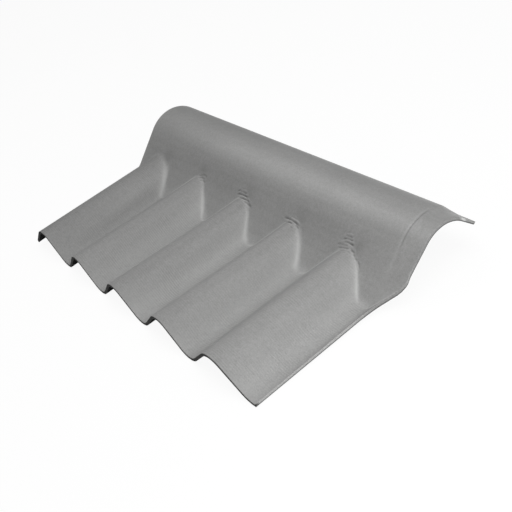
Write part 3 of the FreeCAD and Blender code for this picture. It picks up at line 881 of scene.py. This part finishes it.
def floor_material(stage):
    """Pale floor that keeps a soft shadow and reads as white to the camera."""
    material = bpy.data.materials.new("studio_floor")
    material.use_nodes = True
    tree = material.node_tree
    tree.nodes.clear()
    start = Shade(tree)
    camera = start.node("ShaderNodeLightPath", output="Is Camera Ray")
    plain = start.node("ShaderNodeBsdfDiffuse", inputs={"Color": rgba(stage.floor_colour)})
    white = start.node("ShaderNodeEmission", inputs={"Color": WHITE, "Strength": 1.0})
    clear = start.node("ShaderNodeBsdfTransparent")
    seen = start.node("ShaderNodeMixShader", inputs={0: camera * stage.floor_white, 1: plain, 2: white})
    back = start.node("ShaderNodeNewGeometry", output="Backfacing")
    both = start.node("ShaderNodeMixShader", inputs={0: back, 1: seen, 2: clear})
    start.node("ShaderNodeOutputMaterial", inputs={"Surface": both})
    return material


# Stage

# Floor: half its width, and its distance below the part
FLOOR_REACH = 6.0
FLOOR_GAP = 0.5 * MM


def add_floor(stage):
    """A square floor just below the part."""
    mesh = bpy.data.meshes.new("studio_floor")
    signs = ((-1.0, -1.0), (1.0, -1.0), (1.0, 1.0), (-1.0, 1.0))
    corners = [(FLOOR_REACH * across, FLOOR_REACH * along, 0.0) for across, along in signs]
    mesh.from_pydata(corners, [], [(0, 1, 2, 3)])
    mesh.materials.append(floor_material(stage))
    floor = bpy.data.objects.new("studio_floor", mesh)
    floor.location.z = CAD_BOX[0].z - FLOOR_GAP
    bpy.context.scene.collection.objects.link(floor)


# Lamps: name, place, aim, width and power
SOFT_BOXES = (
    ("overhead_right_box", (0.8, 0.0, 1.8), (0.0, 0.0, 0.05), 1.2, 17.0),
    ("overhead_left_box", (-0.8, 0.0, 1.8), (0.0, 0.0, 0.05), 1.2, 9.0),
    ("right_box", (1.1, 0.0, 0.7), (0.0, 0.0, 0.05), 1.2, 6.9),
)


def add_lamps():
    """Square soft lamps, each turned to its aim."""
    for name, place, aim, width, power in SOFT_BOXES:
        light = bpy.data.lights.new(name, "AREA")
        light.size = width
        light.energy = power
        lamp = bpy.data.objects.new(name, light)
        lamp.location = place
        direction = Vector(aim) - Vector(place)
        lamp.rotation_euler = direction.to_track_quat("-Z", "Y").to_euler()
        bpy.context.scene.collection.objects.link(lamp)


def add_world(stage):
    """Even light from all round, with plain white behind the part."""
    world = bpy.data.worlds.new("studio")
    world.use_nodes = True
    tree = world.node_tree
    tree.nodes.clear()
    start = Shade(tree)
    path = start.node("ShaderNodeLightPath", output="Is Camera Ray")
    light = start.node("ShaderNodeBackground", inputs={"Color": WHITE, "Strength": stage.sky})
    white = start.node("ShaderNodeBackground", inputs={"Color": WHITE, "Strength": 1.0})
    seen = start.node("ShaderNodeMixShader", inputs={0: path, 1: light, 2: white})
    start.node("ShaderNodeOutputWorld", inputs={"Surface": seen})
    bpy.context.scene.world = world


def add_camera(stage):
    """The camera fitted to the photograph."""
    lens = bpy.data.cameras.new("camera")
    lens.sensor_width = SENSOR_WIDTH
    lens.lens = stage.focal_pixels / IMAGE_PIXELS * lens.sensor_width
    camera = bpy.data.objects.new("camera", lens)
    camera.matrix_world = (
        Matrix.Translation(Vector(stage.camera_place))
        @ Matrix.Rotation(stage.azimuth, 4, "Z")
        @ Matrix.Rotation(math.pi / 2.0 - stage.elevation, 4, "X")
        @ Matrix.Rotation(stage.tilt, 4, "Z"))
    bpy.context.scene.collection.objects.link(camera)
    bpy.context.scene.camera = camera


# Operators and panel

class RIDGECAP_OT_sheet(bpy.types.Operator):
    """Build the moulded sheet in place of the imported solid"""
    bl_idname = "ridge_cap.sheet"
    bl_label = "Ridge cap sheet"

    def execute(self, context):
        piece = build_sheet(context.scene.ridge_cap_sizes)
        piece.data.materials.append(cement_material(context.scene.ridge_cap_finish))
        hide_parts("ridge_cap")
        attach(piece, "root")
        return {"FINISHED"}


class RIDGECAP_OT_stage(bpy.types.Operator):
    """Add the floor, the lamps, the background and the camera"""
    bl_idname = "ridge_cap.stage"
    bl_label = "Studio stage"

    def execute(self, context):
        stage = context.scene.ridge_cap_stage
        add_floor(stage)
        add_lamps()
        add_world(stage)
        add_camera(stage)
        context.scene.view_settings.view_transform = "Standard"
        return {"FINISHED"}


class RIDGECAP_PT_panel(bpy.types.Panel):
    """Sizes, finish and stage of the ridge cap"""
    bl_idname = "RIDGECAP_PT_panel"
    bl_label = "Ridge cap"
    bl_space_type = "VIEW_3D"
    bl_region_type = "UI"
    bl_category = "Ridge cap"

    def draw(self, context):
        scene = context.scene
        groups = (
            ("ridge_cap.sheet", (scene.ridge_cap_sizes, scene.ridge_cap_finish)),
            ("ridge_cap.stage", (scene.ridge_cap_stage,)),
        )
        for operator, settings in groups:
            box = self.layout.box()
            for group in settings:
                for name in group.__annotations__:
                    box.prop(group, name)
            box.operator(operator)


CLASSES = (
    SheetSizes, FinishSettings, StageSettings, RIDGECAP_OT_sheet, RIDGECAP_OT_stage, RIDGECAP_PT_panel)


def register():
    for item in CLASSES:
        bpy.utils.register_class(item)
    bpy.types.Scene.ridge_cap_sizes = bpy.props.PointerProperty(type=SheetSizes)
    bpy.types.Scene.ridge_cap_finish = bpy.props.PointerProperty(type=FinishSettings)
    bpy.types.Scene.ridge_cap_stage = bpy.props.PointerProperty(type=StageSettings)


def unregister():
    del bpy.types.Scene.ridge_cap_stage
    del bpy.types.Scene.ridge_cap_finish
    del bpy.types.Scene.ridge_cap_sizes
    for item in reversed(CLASSES):
        bpy.utils.unregister_class(item)


def main():
    register()
    bpy.ops.ridge_cap.sheet()
    bpy.ops.ridge_cap.stage()


if __name__ == "__main__":
    main()
